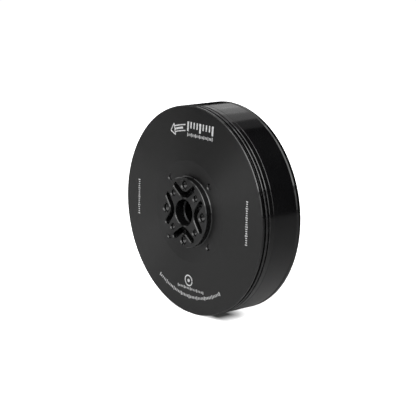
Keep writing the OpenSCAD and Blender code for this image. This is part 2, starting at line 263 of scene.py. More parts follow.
def tube(bm, points, radius, closed=False, sides=8):
    """A round tube along points, given in metres."""
    points = [Vector(p) for p in points]
    n = len(points)
    rings, normal = [], None
    for i, p in enumerate(points):
        before = points[i - 1] if (i or closed) else p
        after = points[(i + 1) % n] if (i < n - 1 or closed) else p
        along = (after - before).normalized()
        if normal is None:
            normal = along.orthogonal().normalized()
        normal = (normal - along * normal.dot(along)).normalized()
        side = along.cross(normal)
        ring = []
        for k in range(sides):
            c, s = math.cos(TURN * k / sides), math.sin(TURN * k / sides)
            ring.append(bm.verts.new(p + (normal * c + side * s) * radius))
        rings.append(ring)
    pairs = list(zip(rings, rings[1:]))
    if closed:
        # the last ring meets the first with the turn that lines their points up best
        last, first = rings[-1], rings[0]
        shift = min(range(sides), key=lambda s: (last[0].co - first[s].co).length)
        pairs.append((last, first[shift:] + first[:shift]))
    for a, b in pairs:
        join_rings(bm, a, b)
    if not closed:
        bm.faces.new(rings[0])
        bm.faces.new(rings[-1])


# ---- Materials ----

SCRATCH = 0.00002  # depth of a fine bump, in metres


def grey(v):
    return (v, v, v)


def material(name, base, metallic=0.0, roughness=0.5):
    mat = bpy.data.materials.new(name)
    mat.use_nodes = True
    shader = mat.node_tree.nodes["Principled BSDF"]
    shader.inputs["Base Color"].default_value = (*base, 1)
    shader.inputs["Metallic"].default_value = metallic
    shader.inputs["Roughness"].default_value = roughness
    return mat


class Nodes:
    """Short names for building a material's nodes."""

    def __init__(self, mat):
        self.tree = mat.node_tree
        self.shader = self.tree.nodes["Principled BSDF"]

    def make(self, kind, **settings):
        node = self.tree.nodes.new(kind)
        for key, value in settings.items():
            setattr(node, key, value)
        return node

    def join(self, out, into):
        self.tree.links.new(out, into)

    def put(self, out, socket):
        self.join(out, self.shader.inputs[socket])

    def math(self, operation, *values):
        node = self.make("ShaderNodeMath", operation=operation)
        for i, v in enumerate(values):
            if isinstance(v, (int, float)):
                node.inputs[i].default_value = v
            else:
                self.join(v, node.inputs[i])
        return node.outputs[0]

    def place(self):
        return self.make("ShaderNodeTexCoord").outputs["Object"]

    def axes(self):
        """X, Y and Z of the object's own frame, in metres."""
        parts = self.make("ShaderNodeSeparateXYZ")
        self.join(self.place(), parts.inputs[0])
        return parts.outputs

    def length(self, a, b):
        """Length of the diagonal of sides a and b."""
        squares = self.math("ADD", self.math("MULTIPLY", a, a), self.math("MULTIPLY", b, b))
        return self.math("SQRT", squares)

    def radius(self):
        """Distance from the motor's axis, in millimetres."""
        x, _, z = self.axes()
        return self.math("MULTIPLY", self.length(x, z), 1 / MM)

    def height(self):
        """Height above the mounting face, in millimetres."""
        return self.math("MULTIPLY", self.axes()[1], -1 / MM)

    def wear(self, edges):
        """Patches of rubbed edge: 1 on some stretches of the (radius, height) circles, 0 elsewhere."""
        rubbed, sound = 0.15, 0.5  # distances from the edge, in millimetres
        r, h = self.radius(), self.height()
        near = None
        for edge_r, edge_h in edges:
            apart = self.length(self.math("SUBTRACT", r, edge_r), self.math("SUBTRACT", h, edge_h))
            close = self.spread(apart, 1, 0, rubbed, sound)
            near = close if near is None else self.math("MAXIMUM", near, close)
        patches = self.spread(self.noise(260, detail=5, rough=0.65), 0, 1, 0.48, 0.66)
        return self.math("MULTIPLY", near, patches)

    def blend(self, amount, a, b):
        """Mixes colour b over colour a."""
        node = self.make("ShaderNodeMixRGB")
        self.join(amount, node.inputs[0])
        self.join(a, node.inputs[1])
        node.inputs[2].default_value = (*b, 1)
        return node.outputs[0]

    def noise(self, scale, detail=3.0, rough=0.55, w=None):
        """Noise over the object, or along the single value w."""
        node = self.make("ShaderNodeTexNoise")
        if w is None:
            self.join(self.place(), node.inputs["Vector"])
        else:
            node.noise_dimensions = "1D"
            self.join(w, node.inputs["W"])
        node.inputs["Scale"].default_value = scale
        node.inputs["Detail"].default_value = detail
        node.inputs["Roughness"].default_value = rough
        return node.outputs["Fac"]

    def spread(self, value, low, high, from_low=0.3, from_high=0.7):
        """Stretches a value from one range to another, held at both ends."""
        node = self.make("ShaderNodeMapRange")
        self.join(value, node.inputs["Value"])
        for key, v in zip(("From Min", "From Max", "To Min", "To Max"), (from_low, from_high, low, high)):
            node.inputs[key].default_value = v
        return node.outputs[0]

    def ramp(self, value, *stops):
        node = self.make("ShaderNodeValToRGB")
        self.join(value, node.inputs[0])
        points = node.color_ramp.elements
        while len(points) < len(stops):
            points.new(0.5)
        for point, (where, colour) in zip(points, stops):
            point.position, point.color = where, (*colour, 1)
        return node.outputs[0]

    def bump(self, height, strength, distance=SCRATCH):
        node = self.make("ShaderNodeBump")
        self.join(height, node.inputs["Height"])
        node.inputs["Strength"].default_value = strength
        node.inputs["Distance"].default_value = distance
        return node.outputs[0]

    def round_tangent(self):
        node = self.make("ShaderNodeTangent", direction_type="RADIAL", axis="Y")
        self.put(node.outputs[0], "Tangent")


def turned_black(name, edges, base, rough, anisotropic, grain=0.12):
    """Black anodised aluminium with the fine rings that a lathe leaves, rubbed along its edges."""
    worn, worn_share = (0.13, 0.13, 0.135), 0.25
    mat = material(name, (base, base, base * 1.02))
    n = Nodes(mat)
    n.shader.inputs["Specular IOR Level"].default_value = 0.6
    n.shader.inputs["Anisotropic"].default_value = anisotropic
    n.shader.inputs["Anisotropic Rotation"].default_value = 0.25
    n.round_tangent()
    rings = n.noise(9.0, detail=4, rough=0.7, w=n.radius())
    cloud = n.noise(55, detail=4)
    grains = n.math("ADD", n.math("MULTIPLY", rings, 0.6), n.math("MULTIPLY", cloud, 0.4))
    n.put(n.spread(grains, *rough), "Roughness")
    dark = (base * 0.9, base * 0.9, base * 0.92)
    light = (base * 1.12, base * 1.12, base * 1.13)
    clean = n.ramp(cloud, (0.35, dark), (0.65, light))
    n.put(n.blend(n.math("MULTIPLY", n.wear(edges), worn_share), clean, worn), "Base Color")
    n.put(n.bump(rings, grain), "Normal")
    return mat


def gloss_black():
    """Smooth black coating over the steel ring."""
    mat = material("flux_gloss", (0.006, 0.006, 0.0065))
    n = Nodes(mat)
    n.shader.inputs["Specular IOR Level"].default_value = 0.5
    peel = n.noise(900, detail=2)
    cloud = n.noise(60, detail=4)
    n.put(n.spread(cloud, 0.1, 0.15), "Roughness")
    n.put(n.ramp(cloud, (0.3, (0.005, 0.005, 0.0055)), (0.7, (0.008, 0.008, 0.0085))), "Base Color")
    n.put(n.bump(peel, 0.05), "Normal")
    return mat


def steel(name, tone, rough=(0.18, 0.32), tint=1.0):
    """Bare metal with dull clouds: tint scales its blue, which turns it to brass."""
    mat = material(name, grey(tone), metallic=1.0)
    n = Nodes(mat)
    fine = n.noise(700, detail=3)
    cloud = n.noise(120, detail=4)
    n.put(n.spread(cloud, *rough), "Roughness")
    dull = (tone * 0.85, tone * 0.86, tone * 0.88 * tint)
    clean = (tone, tone, tone * 1.02 * tint)
    n.put(n.ramp(cloud, (0.3, dull), (0.7, clean)), "Base Color")
    n.put(n.bump(fine, 0.15), "Normal")
    return mat


def copper():
    """Wire under a clear coat of enamel."""
    mat = material("enamelled_copper", (0.55, 0.2, 0.08), metallic=1.0)
    n = Nodes(mat)
    n.shader.inputs["Coat Weight"].default_value = 0.6
    n.shader.inputs["Coat Roughness"].default_value = 0.12
    cloud = n.noise(180, detail=4)
    wide = n.noise(40, detail=2)
    mix = n.math("ADD", n.math("MULTIPLY", cloud, 0.6), n.math("MULTIPLY", wide, 0.4))
    dark, middle, light = (0.34, 0.1, 0.035), (0.55, 0.19, 0.07), (0.7, 0.28, 0.12)
    n.put(n.ramp(mix, (0.35, dark), (0.5, middle), (0.66, light)), "Base Color")
    n.put(n.spread(cloud, 0.22, 0.4), "Roughness")
    n.put(n.bump(n.noise(1500, detail=2), 0.1), "Normal")
    return mat


def laminated():
    """Edges of thin stacked sheets."""
    sheet = 0.3  # thickness, in millimetres
    mat = material("laminations", (0.2, 0.2, 0.21), metallic=0.9)
    n = Nodes(mat)
    sheets = n.math("FRACT", n.math("MULTIPLY", n.height(), -1 / sheet))
    ridge = n.math("ABSOLUTE", n.math("SUBTRACT", sheets, 0.5))
    n.put(n.bump(ridge, 0.5, 2.5 * SCRATCH), "Normal")
    cloud = n.noise(200, detail=4)
    n.put(n.ramp(cloud, (0.3, (0.1, 0.1, 0.105)), (0.7, (0.22, 0.22, 0.23))), "Base Color")
    n.put(n.spread(cloud, 0.35, 0.6), "Roughness")
    return mat


def coated(name, low, high, rough=(0.45, 0.65), grain=600, strength=0.25):
    """Plastic, rubber, sleeving or varnish: two tones, a grain and a fine bump."""
    mat = material(name, high)
    n = Nodes(mat)
    cloud = n.noise(150, detail=4)
    n.put(n.ramp(cloud, (0.3, low), (0.7, high)), "Base Color")
    n.put(n.spread(cloud, *rough), "Roughness")
    n.put(n.bump(n.noise(grain, detail=3), strength, 2 * SCRATCH), "Normal")
    return mat


def etched():
    """Pale matt print."""
    mat = material("etched_marks", (0.75, 0.76, 0.76))
    n = Nodes(mat)
    cloud = n.noise(900, detail=3)
    n.put(n.ramp(cloud, (0.3, (0.55, 0.56, 0.56)), (0.7, grey(0.85))), "Base Color")
    n.put(n.spread(cloud, 0.45, 0.7), "Roughness")
    return mat


face_edges = ((pilot_r, hub_top), (hub_r, hub_top), (rim_r, front))
groove_edges = [(rim_r, front - end) for groove in grooves for end in groove]
rim_edges = [(rim_r, front), *groove_edges, (rim_r, rear_low), (rim_r, rear_top)]
base_edges = ((base_bore_r, 0), (boss_r, 0), (drum_r, drum_low), (drum_step_r, drum_step_low))
face_black = turned_black("turned_black", face_edges, 0.005, (0.29, 0.34), 0.95)
rim_black = turned_black("turned_black_rim", rim_edges, 0.006, (0.09, 0.13), 0.2, grain=0.03)
wall_black = turned_black("turned_black_wall", face_edges, 0.006, (0.1, 0.14), 0.2, grain=0.03)
base_black = turned_black("turned_black_base", base_edges, 0.02, (0.3, 0.42), 0.4)
flux_black = gloss_black()
bright_steel = steel("ground_steel", 0.62)
dark_steel = steel("dark_steel", 0.09, rough=(0.28, 0.4))
race_steel = steel("race_steel", 0.7, rough=(0.1, 0.2))
nickel = steel("nickel", 0.6, rough=(0.22, 0.34))
bore_black = steel("bore_black", 0.03, rough=(0.25, 0.4))
brass = steel("cage_brass", 0.5, rough=(0.2, 0.34), tint=0.3)
cord_white = coated(
    "lacing_cord", (0.5, 0.48, 0.42), (0.66, 0.64, 0.58), rough=(0.6, 0.8), grain=2500, strength=0.4
)
winding = copper()
core_steel = laminated()
green_coat = coated("insulator_coat", (0.015, 0.05, 0.035), (0.03, 0.08, 0.055), rough=(0.3, 0.45))
sleeve_red = coated("woven_sleeving", (0.16, 0.02, 0.015), (0.28, 0.05, 0.035), grain=1600, strength=0.5)
sleeve_black = coated("shrunk_sleeve", grey(0.012), (0.025, 0.025, 0.026), rough=(0.35, 0.5))
rubber = coated("gland_rubber", grey(0.01), grey(0.022), rough=(0.5, 0.7))
mark_white = etched()


def dress(obj, mat):
    obj.data.materials.clear()
    obj.data.materials.append(mat)


def piece(obj, mat, body, slot_name, *instead):
    dress(obj, mat)
    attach(obj, body)
    if instead:
        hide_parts(*instead)
    return obj


# ---- Rotor ----

def face_height(r):
    """Height of the face outside the hub: flat, then falling to the rim's edge."""
    if r <= plateau_r:
        return plateau
    return plateau + (front - plateau) * (r - plateau_r) / (rim_r - lip_chamfer - plateau_r)


def groove_corners(start, end, chamfer=0.22):
    return [
        (rim_r, front - start, 0.03),
        (rim_r - groove_depth, front - start, 0.06),
        (rim_r - groove_depth, front - end, 0.06),
        (rim_r - chamfer, front - end, 0.02),
        (rim_r, front - end - chamfer, 0.02),
    ]


def slot_points(grow):
    """Outline of a bent air slot, right of the hub's centre, widened by grow."""
    turn, lean = math.radians(36), math.radians(54)
    half, bend, leg = 1.2 + grow, 4.05, 3.86
    hole = Vector((slot_hole_r, 0))
    tip = hole + Vector(polar(-bend, -turn)) + Vector(polar(leg, lean))
    return (
        arc(hole, bend + half, math.pi - turn, math.pi + turn, 16)
        + arc((tip.x, -tip.y), half, math.pi + turn, TURN + turn, 16)
        + arc(hole, bend - half, math.pi + turn, math.pi - turn, 12)
        + arc(tip, half, -turn, math.pi - turn, 16)
    )


bell = lathe("bell_shell", rounded([
    (pilot_r, shaft_top),
    (pilot_r, hub_top - lip_chamfer, 0.05),
    (pilot_r + lip_chamfer, hub_top, 0.05),
    (hub_r - hub_chamfer, hub_top, 0.03),
    (hub_r, hub_top - hub_chamfer, 0.03),
    (hub_r, plateau + lip_chamfer, 0.05),
    (hub_r + lip_chamfer, plateau, 0.05),
    (plateau_r, plateau, 0.8),
    (rim_r - lip_chamfer, front, 0.02),
    (rim_r, front - lip_chamfer, 0.02),
    *groove_corners(*grooves[0]),
    *groove_corners(*grooves[1]),
    (rim_r, bell_rear + 0.15, 0.03),
    (rim_r - 0.15, bell_rear, 0.03),
    (flux_in - seam_gap, bell_rear),
    (flux_in - seam_gap, bell_low),
    (flux_in - lip_inset, bell_low),
    (bell_in_r, bell_rear),
    (bell_in_r, web_back, 1.0),
    (shaft_r + 0.01, web_back),
    (shaft_r + 0.01, shaft_top),
]), steps=384)
tools = bmesh.new()
below = web_back - 0.5
for k in range(4):
    a, b = k * TURN / 4, (k + 0.5) * TURN / 4
    mouth = [(hub_top - lip_chamfer, 0), (hub_top, lip_chamfer), (hub_top + 0.5, lip_chamfer + 0.5)]
    levels = [(below, 0), *mouth]
    add_levels(tools, [at_height(turn_by(slot_points(grow), a), h) for h, grow in levels])
    add_drill(tools, polar(slot_hole_r, a), m4, below, hub_top, 0.45)
    add_drill(tools, polar(hub_hole_r, b), m3, below, hub_top, 0.4)
    add_drill(tools, polar(face_hole_r, b), m2_5, below, plateau, 0.4)
cut(bell, tools)
piece(bell, face_black, "rotor", "anodised_black", "front_bell")
bell.data.materials.append(rim_black)
bell.data.materials.append(wall_black)
for face in bell.data.polygons:
    x, y, z = face.center / MM
    faces_front = face.normal.y < -0.9
    if math.hypot(x, z) > rim_r - groove_depth - 0.2 and (not faces_front or -y < front - 0.6):
        face.material_index = 1
    elif face.normal.y > -0.95:
        face.material_index = 2

flux_r, flux_bevel = rim_r - 0.02, 0.15
flux = lathe("flux_band", rounded([
    (flux_in, flux_low),
    (flux_r - flux_bevel, flux_low, 0.03),
    (flux_r, flux_low + flux_bevel, 0.05),
    (flux_r, flux_high - flux_bevel, 0.05),
    (flux_r - flux_bevel, flux_high, 0.03),
    (flux_in, flux_high),
]), steps=384)
piece(flux, flux_black, "rotor", "flux_ring_black", "flux_ring")

rear_chamfer, seam_chamfer = 0.35, 0.4
rear = lathe("rear_band", rounded([
    (rear_in_r, rear_low, 0.2),
    (rim_r - rear_chamfer, rear_low, 0.04),
    (rim_r, rear_low + rear_chamfer, 0.04),
    (rim_r, rear_top - seam_chamfer, 0.04),
    (rim_r - seam_chamfer, rear_top, 0.04),
    (rim_r - seam_chamfer, flux_low - 0.02),
    (flux_in - seam_gap, flux_low - 0.02),
    (flux_in - seam_gap, flux_low + 0.75),
    (flux_in - lip_inset, flux_low + 0.75),
    (rear_in_r, rear_top, 0.2),
]), steps=384)
piece(rear, rim_black, "rotor", "anodised_black", "rear_ring")

# Hollow shaft, its four-armed flange behind the bell's web, and the groove for the retaining ring
shaft = lathe("hollow_shaft", rounded([
    (shaft_bore, shaft_low, 0.25),
    (shaft_r, shaft_low, 0.3),
    (shaft_r, clip_low),
    (clip_r, clip_low),
    (clip_r, clip_high),
    (shaft_r, clip_high),
    (shaft_r, flange_low, 0.4),
    (flange_r, flange_low, 0.2),
    (flange_r, web_back),
    (shaft_r, web_back),
    (shaft_r, shaft_top),
    (shaft_bore + 0.38, shaft_top),
    (shaft_bore, shaft_top - 0.38),
]), steps=160)


def flange_arm(inset):
    """Plan of one arm of the flange along +X, with a round pad at its end."""
    root, half, pad_r = 7.2, 2.2 - inset, 3 - inset
    pad_edge = math.asin(2.2 / 3)
    pad = arc((face_hole_r, 0), pad_r, -math.pi + pad_edge, math.pi - pad_edge, 24)
    return [(root, -half), *pad, (root, half)]


arms = bmesh.new()
holes = bmesh.new()
for k in range(4):
    a = (k + 0.5) * TURN / 4
    add_levels(arms, [
        at_height(turn_by(flange_arm(inset), a), h)
        for inset, h in ((0.2, flange_low), (0, flange_low + 0.2), (0, web_back))
    ])
    hole = circle_points(*polar(face_hole_r, a), 1.35, 32)
    add_levels(holes, [at_height(hole, h) for h in (flange_low - 0.5, web_back + 0.5)])
combine(shaft, arms, "UNION")
cut(shaft, holes)
piece(shaft, bright_steel, "rotor", "shaft_steel", "shaft")
shaft.data.materials.append(bore_black)
for face in shaft.data.polygons:
    x, _, z = face.center / MM
    if math.hypot(x, z) < shaft_bore + 0.7:
        face.material_index = 1


# ---- Marks printed on the face: a spin arrow, rows of ticks and a ring, with no lettering ----

def add_print(bm, points):
    """A thin raised print on the face, from an outline of (x, z) points."""
    add_levels(bm, [
        [flat(x, z, face_height(math.hypot(x, z)) + lift) for x, z in points] for lift in (-0.01, 0.03)
    ])


def bar(x, z, w, h, a=0.0):
    """Corners of a bar of width w and height h, centred on (x, z) and turned by a."""
    corners = [(-w / 2, -h / 2), (w / 2, -h / 2), (w / 2, h / 2), (-w / 2, h / 2)]
    return [(x + px, z + pz) for px, pz in turn_by(corners, a)]


def add_stroke(bm, path, width):
    """A line of even width along an open path."""
    left, right = [], []
    for i, (x, z) in enumerate(path):
        x0, z0 = path[max(i - 1, 0)]
        x1, z1 = path[min(i + 1, len(path) - 1)]
        length = math.hypot(x1 - x0, z1 - z0)
        nx, nz = (z0 - z1) / length * width / 2, (x1 - x0) / length * width / 2
        left.append((x + nx, z + nz))
        right.append((x - nx, z - nz))
    add_print(bm, left + right[::-1])


marks = bmesh.new()
# spin arrow: two curved lines round a bold one and an outlined head, running round the axis
arrow_r, line = 34.4, 0.45
tail, bold_tail, neck, tip = (math.radians(a) for a in (96.5, 99, 108, 112.5))
for r in (arrow_r - 1.2, arrow_r + 1.2):
    add_stroke(marks, arc((0, 0), r, tail, neck, 10), line)
add_stroke(marks, arc((0, 0), arrow_r, bold_tail, neck, 10), 0.8)
low_barb, high_barb, point = polar(arrow_r - 2.4, neck), polar(arrow_r + 2.4, neck), polar(arrow_r, tip)
for ends in ((low_barb, point), (high_barb, point), (low_barb, high_barb)):
    add_stroke(marks, ends, line)
# scale beside the arrow: bold ticks that hang from one line, over fine ones
scale_left, scale_top, fine_row = -2.2, 36.9, 31.6
for k in range(9):
    wide, tall = (1.0, 3.9) if k % 4 == 0 else (0.7, 2.6)
    add_print(marks, bar(scale_left + 1.9 * k, scale_top - tall / 2, wide, tall))
for k in range(19):
    add_print(marks, bar(scale_left + 0.845 * k, fine_row, 0.36, 1.5 if k % 3 == 0 else 0.95))
# columns of small ticks on the left and right
for side, count in ((-34.2, 17), (34.6, 20)):
    for k in range(count):
        add_print(marks, bar(side, -7.0 + 0.91 * k, 1.35 if k % 4 == 0 else 0.95, 0.42))
# ring and dot under the hub
ring_centre = (0, -29.2)
add_stroke(marks, arc(ring_centre, 2.2, 0.04, TURN - 0.04, 40), 0.55)
add_print(marks, circle_points(*ring_centre, 0.75, 24))
# short row of ticks, then an arc of them near the rim
for k in range(17):
    add_print(marks, bar(-7 + k, -32.6, 0.4, 1.3 if k % 4 == 0 else 0.85))
for k in range(41):
    a = math.radians(-90 - 32 + 1.6 * k)
    add_print(marks, bar(*polar(36.1, a), 1.7 if k % 5 == 0 else 1.05, 0.45, a))
piece(new_object("index_marks", marks, smooth=False), mark_white, "rotor", "index_white")


# ---- Bearings seen from the rear ----

def bearing_ring(name, inner, outer, body, node):
    low, high = bearing_low, bearing_low + bearing_width
    outline = [(inner, low, 0.2), (outer, low, 0.2), (outer, high, 0.2), (inner, high, 0.2)]
    piece(lathe(name, rounded(outline), steps=160), race_steel, body, "bearing_steel", node)


bearing_ring("rear_inner_ring", shaft_r + 0.01, 8.455, "rotor", "rear_inner_race")
bearing_ring("rear_outer_ring", 9.555, base_bore_r - 0.01, "stator", "rear_outer_race")
shield = bmesh.new()
shield_in, shield_out, shield_thick, dish = 8.6, 9.5, 0.2, 0.12
for low, inward in ((bearing_low + 0.2, 1), (bearing_low + bearing_width - 0.2, -1)):
    add_lathe(shield, rounded([
        (shield_in, low + dish * inward),
        (shield_in + 0.2, low, 0.05),
        (shield_out - 0.2, low, 0.05),
        (shield_out, low + dish * inward),
        (shield_out, low + shield_thick * inward),
        (shield_in, low + shield_thick * inward),
    ]), steps=160)
piece(new_object("rear_shield_pair", shield), nickel, "stator", "shim_steel", "rear_shields")


# ---- Stator ----

arm_far_r = 28.2


def arm_outline(inset):
    """Plan of one base arm along +X, flared at both ends."""
    half, flare, near = 2.1 - inset, 1.7, 20.3
    side = (
        arc((near + flare, half + flare), flare, math.pi, math.pi * 1.5, 6)
        + arc((arm_far_r - flare, half + flare), flare, -math.pi / 2, 0, 6)
    )
    return side + [(x, -z) for x, z in side[::-1]]


def wide_outline(inset):
    """Plan of the wide arm that holds the lead exit, pointing down."""
    down = -math.pi / 2
    near_r, middle_r = 20.4, 24
    half = math.radians(17) - inset / middle_r
    near_half, far_half = half + 0.06, half + 0.03
    return (
        arc((0, 0), near_r, down - near_half, down + near_half, 12)
        + arc((0, 0), arm_far_r, down + far_half, down - far_half, 12)
    )


def exit_outline(grow, steps=14):
    """Outline of the lead exit, a hole with round ends, widened by grow."""
    reach, r = (exit_length - exit_width) / 2, exit_width / 2 + grow
    return (
        arc((reach, -exit_r), r, -math.pi / 2, math.pi / 2, steps)
        + arc((-reach, -exit_r), r, math.pi / 2, math.pi * 1.5, steps)
    )


# boss and bearing tube, then the drum that carries the core, then the nine arms between them
tube_r, tube_top, seat_r = 13, 18.9, 9.7
seat_low, seat_high = bearing_low + bearing_width + 0.01, 14.1
base = lathe("base_casting", rounded([
    (base_bore_r, 0, 0.35),
    (boss_r, 0, 0.45),
    (boss_r, boss_high, 0.3),
    (tube_r, boss_high, 0.9),
    (tube_r, tube_top, 0.3),
    (base_bore_r, tube_top, 0.15),
    (base_bore_r, seat_high),
    (seat_r, seat_high),
    (seat_r, seat_low),
    (base_bore_r, seat_low),
]), steps=192)
drum = bmesh.new()
add_lathe(drum, rounded([
    (drum_in, drum_low, 0.25),
    (drum_r, drum_low, 0.45),
    (drum_r, drum_step_low, 0.3),
    (drum_step_r, drum_step_low, 0.2),
    (drum_step_r, drum_step_high),
    (drum_r, drum_step_high),
    (drum_r, drum_high, 0.3),
    (drum_in, drum_high, 0.3),
]), steps=192)
spokes = bmesh.new()
arm_high = 4.2
edge = ((0, 0.35), (0.1, 0.15), (0.3, 0))  # rounding of an arm: distance from its face, inset
arm_levels = [(drum_low + d, inset) for d, inset in edge] + [(arm_high - d, inset) for d, inset in edge[::-1]]
for k in range(1, 9):
    a = -TURN / 4 + k * TURN / 9
    add_levels(spokes, [at_height(turn_by(arm_outline(inset), a), h) for h, inset in arm_levels])
add_levels(spokes, [at_height(wide_outline(inset), h) for h, inset in arm_levels])
combine(base, spokes, "UNION")
combine(base, drum, "UNION")
tools = bmesh.new()
for k in range(4):
    a, b = k * TURN / 4, (k + 0.5) * TURN / 4
    add_drill(tools, polar(m3_mount_r, a), m3, boss_high + 0.7, 0, 0.35)
    add_drill(tools, polar(m4_mount_r, b), m4, boss_high + 0.7, 0, 0.4)
add_levels(tools, [at_height(exit_outline(0), h) for h in (0.5, 5)])
cut(base, tools)
piece(base, base_black, "stator", "anodised_black", "stator_base")

# rubber gland: a waist in the hole between two lips, each a list of (height, how far past the hole)
gland = bmesh.new()
lip = [(0.43, 0.4), (0.47, 0.62), (0.62, 0.72), (1.0, 0.72), (1.15, 0.62), (1.19, 0.4)]
middle, waist = 2.7, -0.05  # height about which it is symmetric, and the waist's play in the hole
half_outline = lip + [(1.19, waist)]
levels = half_outline + [(2 * middle - h, grow) for h, grow in half_outline[::-1]]
add_levels(gland, [at_height(exit_outline(grow), h) for h, grow in levels])
gland = new_object("lead_gland", gland, sharp=50)
tools = bmesh.new()
for x in (-2.9, 0, 2.9):
    add_levels(tools, [
        at_height(circle_points(x, -exit_r, r, 24), h)
        for h, r in ((0.3, 1.42), (0.6, 1.17), (0.8, 1.12), (4.6, 1.12), (4.8, 1.17), (5.1, 1.42))
    ])
cut(gland, tools)
piece(gland, rubber, "stator", "grommet_rubber", "wire_grommet")


# ---- Winding ----

draw = random.Random(7)
TEETH = 36
coil_mid, coil_half_w, coil_half_h, coil_corner = 10.5, 2.8, 6.8, 1.8
coil_in_r, coil_length = 33.4, 5.4
wire = 0.25  # radius
turns = 11
wire_pitch = (coil_length - 2 * wire) / (turns - 1)


def loop_points(inset, steps=3):
    """Rounded rectangle round a tooth, as (across the tooth, height) points from the front end on."""
    w, h, c = coil_half_w - inset, coil_half_h - inset, coil_corner - inset
    out = []
    for i, corner in enumerate(((w - c, h - c), (c - w, h - c), (c - w, c - h), (w - c, c - h))):
        out += arc(corner, c, i * TURN / 4, (i + 1) * TURN / 4, steps)
    return out


def coil_point(r, t, h, a):
    """A point at radius r along the tooth, t across it."""
    [(x, z)] = turn_by([(r, t)], a)
    return flat(x, z, coil_mid + h)


def add_coil(bm, a):
    """One outer layer of wire round the tooth at angle a, over a packed core."""
    path = loop_points(wire)
    n = len(path)
    points = []
    for i in range(turns):
        wobble = draw.uniform(-0.04, 0.04)
        for k, (t, h) in enumerate(path):
            # the wire steps on to the next turn along the rear end
            step = min(max((k - n * 0.55) / (n * 0.3), 0), 1) if i < turns - 1 else 0
            squeeze = 1 - 0.004 * draw.random()
            r = coil_in_r + wire + (i + step) * wire_pitch
            points.append(coil_point(r, t * squeeze, h * squeeze + (wobble if h < 0 else 0) * 0.5, a))
    tube(bm, points, wire * MM, sides=6)
    # packed inner layers, seen only as a shadow between the outer turns
    near, far = coil_in_r + 0.2, coil_in_r + coil_length - 0.2
    rings = []
    for outer, inner in zip(loop_points(wire * 1.1), loop_points(0.95)):
        corners = ((near, *inner), (far, *inner), (far, *outer), (near, *outer))
        rings.append([bm.verts.new(coil_point(*corner, a)) for corner in corners])
    for k in range(len(rings)):
        join_rings(bm, rings[k], rings[(k + 1) % len(rings)])


def phase_of(tooth):
    """Teeth belong to the three phases in pairs."""
    return tooth % 6 // 2


for phase, node in enumerate(("coils_phase_a", "coils_phase_b", "coils_phase_c")):
    bm = bmesh.new()
    for k in range(TEETH):
        if phase_of(k) == phase:
            add_coil(bm, k * TURN / TEETH)
    piece(new_object("wound_" + node, bm, sharp=60), winding, "stator", "copper_enamel", node)

# Sleeved jumpers round the drum, laced together, with a bare tail up to each pair of coils
jumpers = bmesh.new()
tails = bmesh.new()
exit_angle, clear = 270, 32  # degrees; no tail comes near the lead exit
for phase, (r, h) in enumerate(((31.1, 4.25), (32.3, 4.25), (31.7, 3.2))):
    path = []
    for k in range(121):
        a = math.radians(-60 + 2.5 * k)
        path.append(place(r + 0.05 * math.sin(7 * a + phase), a, h + 0.04 * math.sin(11 * a)))
    tube(jumpers, path, 0.48 * MM, sides=10)
    for k in range(1, TEETH, 2):
        a = (k + 0.5) * TURN / TEETH
        if phase_of(k) != phase or abs(math.degrees(a) - exit_angle) < clear:
            continue
        tube(tails, [
            place(r, a - 0.03, h), place(r + 0.2, a - 0.015, h - 0.45), place(32.6, a, 3.1),
            place(33.2, a + 0.004, 3.45), place(33.7, a + 0.006, 4.3),
        ], 0.22 * MM, sides=8)
piece(new_object("jumper_set", jumpers, sharp=60), sleeve_red, "stator", "jumper_sleeving", "phase_jumpers")
piece(new_object("winding_tails", tails, sharp=60), winding, "stator", "copper_enamel")
lacing = bmesh.new()
tie = rounded([
    (30.5, 3.95, 0.5),
    (31.7, 2.6, 0.7),
    (32.9, 3.95, 0.5),
    (32.6, 4.83, 0.4),
    (30.8, 4.83, 0.4),
], steps=5)
for k in range(13):
    a = math.radians(-52 + 23.4 * k)
    for twist in (-0.006, 0.006):
        tube(lacing, [place(r, a + twist, h) for r, h in tie], 0.13 * MM, closed=True, sides=6)
piece(new_object("lacing", lacing, sharp=60), cord_white, "stator", "lacing_cord")

# CAD nodes that no piece replaces
for mat, *names in (
    (nickel, "magnets_north", "magnets_south", "front_shields"),
    (dark_steel, "spider_screws", "retaining_ring", "wave_spring"),
    (bright_steel, "front_shim", "rear_shim"),
    (race_steel, "front_inner_race", "front_outer_race", "front_balls", "rear_balls"),
    (brass, "front_cage", "rear_cage"),
    (core_steel, "stator_core"),
    (green_coat, "front_insulator", "rear_insulator"),
    (sleeve_black, "star_sleeve"),
):
    for name in names:
        dress(nodes[name], mat)


# ---- Floor, light and camera ----

floor_radius = 0.9
bm = bmesh.new()
bm.faces.new([bm.verts.new((x, y, -rim_r * MM)) for x, y in circle_points(0, 0, floor_radius, 96)])
floor = new_object("floor", bm, smooth=False)
floor_mat = material("floor_painted_shade", grey(0.8), roughness=0.9)
n = Nodes(floor_mat)
x, y, _ = n.axes()
# painted shade: to everything but the camera, the floor's colour darkens behind the motor in place of its
# light falling off there, and the rim reflects that fade
away = n.math("ADD", n.math("MULTIPLY", x, 0.87), n.math("MULTIPLY", y, 0.5))
painted_falloff_tones = ((0.035, 0.8), (0.06, 0.6), (0.1, 0.44), (0.22, 0.34), (0.5, 0.3))
n.put(n.ramp(away, *((where, grey(tone)) for where, tone in painted_falloff_tones)), "Base Color")
